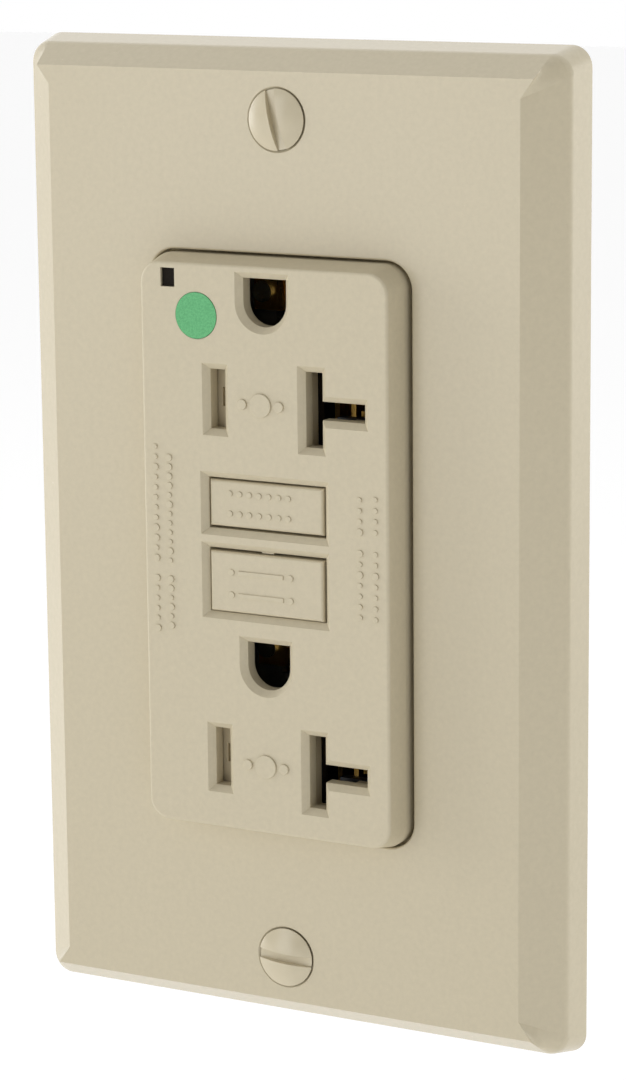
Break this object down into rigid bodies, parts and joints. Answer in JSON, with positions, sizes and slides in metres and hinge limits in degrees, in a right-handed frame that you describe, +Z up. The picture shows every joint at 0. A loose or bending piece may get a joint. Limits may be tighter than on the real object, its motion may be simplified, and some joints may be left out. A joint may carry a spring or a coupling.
{
  "type": "gfci outlet",
  "caption": "Ivory one-gang tamper-resistant ground-fault receptacle with T-slot outlets, test and reset buttons, indicator and bevelled cover plate.",
  "frame": {"origin": "middle of the two box screws, on the wall plane (back rim of the cover plate)", "axes": "+Z up the long side, +X to the right seen from the front, the front faces -Y"},
  "size_m": [0.0696, 0.0383, 0.1138],
  "materials": {
    "ivory_plate": "gloss",
    "ivory_face": "satin",
    "ivory_shutter": "satin",
    "painted_screw": "gloss",
    "smoked_lens": "gloss",
    "clear_pipe": "gloss",
    "green_mark": "satin",
    "housing_grey": "satin",
    "housing_dark": "satin",
    "white_nylon": "satin",
    "zinc_steel": "zinc plated",
    "spring_steel": "bright",
    "brass_strip": "satin",
    "bronze_strip": "satin",
    "silver_metal": "satin",
    "nickel_screw": "bright",
    "green_screw": "gloss",
    "copper_coil": "enamelled copper",
    "board_green": "satin",
    "chip_black": "matte",
    "varistor_blue": "satin",
    "fibre_washer": "matte",
    "resistor_tan": "satin"
  },
  "bodies": {
    "device": {"wallplate": "ivory_plate", "wallplate_screws": "painted_screw", "front_cover": "ivory_face", "indicator_window": "smoked_lens", "light_pipe": "clear_pipe", "green_dot": "green_mark", "reset_spring": "spring_steel", "mounting_strap": "zinc_steel", "box_screws": "nickel_screw", "screw_retainers": "fibre_washer", "ground_contacts": "brass_strip", "ground_rivets": "silver_metal", "upper_shutter_guide": "white_nylon", "upper_shutter_spring": "spring_steel", "lower_shutter_guide": "white_nylon", "lower_shutter_spring": "spring_steel", "hot_load_contact": "brass_strip", "neutral_load_contact": "brass_strip", "fixed_silver_contacts": "silver_metal", "middle_housing": "housing_grey", "opening_spring": "spring_steel", "latch_spring": "spring_steel", "hot_line_bus": "brass_strip", "neutral_line_bus": "brass_strip", "sense_transformer": "copper_coil", "ground_fault_transformer": "copper_coil", "transformer_cup": "housing_dark", "solenoid_bobbin": "white_nylon", "solenoid_coil": "copper_coil", "solenoid_frame": "zinc_steel", "plunger_spring": "spring_steel", "circuit_board": "board_green", "status_led": "white_nylon", "controller_chip": "chip_black", "trip_thyristor": "chip_black", "surge_varistor": "varistor_blue", "filter_capacitor": "chip_black", "rectifier_diodes": "chip_black", "test_resistor": "resistor_tan", "rear_housing": "housing_grey", "assembly_screws": "nickel_screw", "wire_clamp_plates": "brass_strip"},
    "test_button": {"test_button": "ivory_face"},
    "test_blade": {"test_spring_blade": "bronze_strip"},
    "reset_button": {"reset_button": "ivory_face", "reset_shaft": "spring_steel"},
    "upper_shutter": {"upper_shutter": "ivory_shutter"},
    "lower_shutter": {"lower_shutter": "ivory_shutter"},
    "lifter": {"lifter": "housing_dark"},
    "latch": {"latch_plate": "spring_steel"},
    "hot_arm": {"hot_contact_arm": "bronze_strip", "hot_moving_contact": "silver_metal"},
    "neutral_arm": {"neutral_contact_arm": "bronze_strip", "neutral_moving_contact": "silver_metal"},
    "plunger": {"solenoid_plunger": "spring_steel"},
    "hot_load_screw": {"hot_load_screw": "brass_strip"},
    "hot_line_screw": {"hot_line_screw": "brass_strip"},
    "neutral_load_screw": {"neutral_load_screw": "nickel_screw"},
    "neutral_line_screw": {"neutral_line_screw": "nickel_screw"},
    "ground_screw": {"ground_screw": "green_screw"}
  },
  "joints": [
    {"name": "test_button_press", "type": "slide", "parent": "device", "child": "test_button", "axis": [0, 1, 0], "range_m": [0, 0.0015], "stiffness_N_per_m": 300},
    {"name": "test_blade_flex", "type": "hinge", "parent": "device", "child": "test_blade", "pos_m": [0, -0.00074, 0.011], "axis": [1, 0, 0], "range_deg": [0, 14.1]},
    {"name": "reset_button_press", "type": "slide", "parent": "device", "child": "reset_button", "axis": [0, 1, 0], "range_m": [-0.001, 0.0015], "stiffness_N_per_m": 400, "deforming": ["reset_spring"]},
    {"name": "upper_shutter_slide", "type": "slide", "parent": "device", "child": "upper_shutter", "axis": [-1, 0, 0], "range_m": [0, 0.0026], "stiffness_N_per_m": 60, "deforming": ["upper_shutter_spring"]},
    {"name": "lower_shutter_slide", "type": "slide", "parent": "device", "child": "lower_shutter", "axis": [-1, 0, 0], "range_m": [0, 0.0026], "stiffness_N_per_m": 60, "deforming": ["lower_shutter_spring"]},
    {"name": "lifter_drop", "type": "slide", "parent": "device", "child": "lifter", "axis": [0, 1, 0], "range_m": [0, 0.0018], "stiffness_N_per_m": 200, "deforming": ["opening_spring"]},
    {"name": "latch_release", "type": "slide", "parent": "lifter", "child": "latch", "axis": [0, 0, -1], "range_m": [0, 0.0012], "deforming": ["latch_spring"]},
    {"name": "hot_arm_flex", "type": "hinge", "parent": "device", "child": "hot_arm", "pos_m": [-0.0065, 0.01215, -0.0113], "axis": [-1, 0, 0], "range_deg": [0, 9.6]},
    {"name": "neutral_arm_flex", "type": "hinge", "parent": "device", "child": "neutral_arm", "pos_m": [0.0065, 0.01215, -0.0113], "axis": [-1, 0, 0], "range_deg": [0, 9.6]},
    {"name": "plunger_strike", "type": "slide", "parent": "device", "child": "plunger", "axis": [0, 0, -1], "range_m": [0, 0.0012], "stiffness_N_per_m": 150, "deforming": ["plunger_spring"]},
    {"name": "hot_load_screw_back_off", "type": "slide", "parent": "device", "child": "hot_load_screw", "axis": [-1, 0, 0], "range_m": [0, 0.002]},
    {"name": "hot_line_screw_back_off", "type": "slide", "parent": "device", "child": "hot_line_screw", "axis": [-1, 0, 0], "range_m": [0, 0.002]},
    {"name": "neutral_load_screw_back_off", "type": "slide", "parent": "device", "child": "neutral_load_screw", "axis": [1, 0, 0], "range_m": [0, 0.002]},
    {"name": "neutral_line_screw_back_off", "type": "slide", "parent": "device", "child": "neutral_line_screw", "axis": [1, 0, 0], "range_m": [0, 0.002]},
    {"name": "ground_screw_back_off", "type": "slide", "parent": "device", "child": "ground_screw", "axis": [-1, 0, 0], "range_m": [0, 0.002]}
  ],
  "couplings": [
    {"joint": "test_blade_flex", "follows": "test_button_press", "rad_per_m": 162.9},
    {"joint": "hot_arm_flex", "follows": "lifter_drop", "rad_per_m": 92.115},
    {"joint": "neutral_arm_flex", "follows": "lifter_drop", "rad_per_m": 92.115},
    {"joint": "latch_release", "follows": "plunger_strike", "ratio": 1}
  ]
}
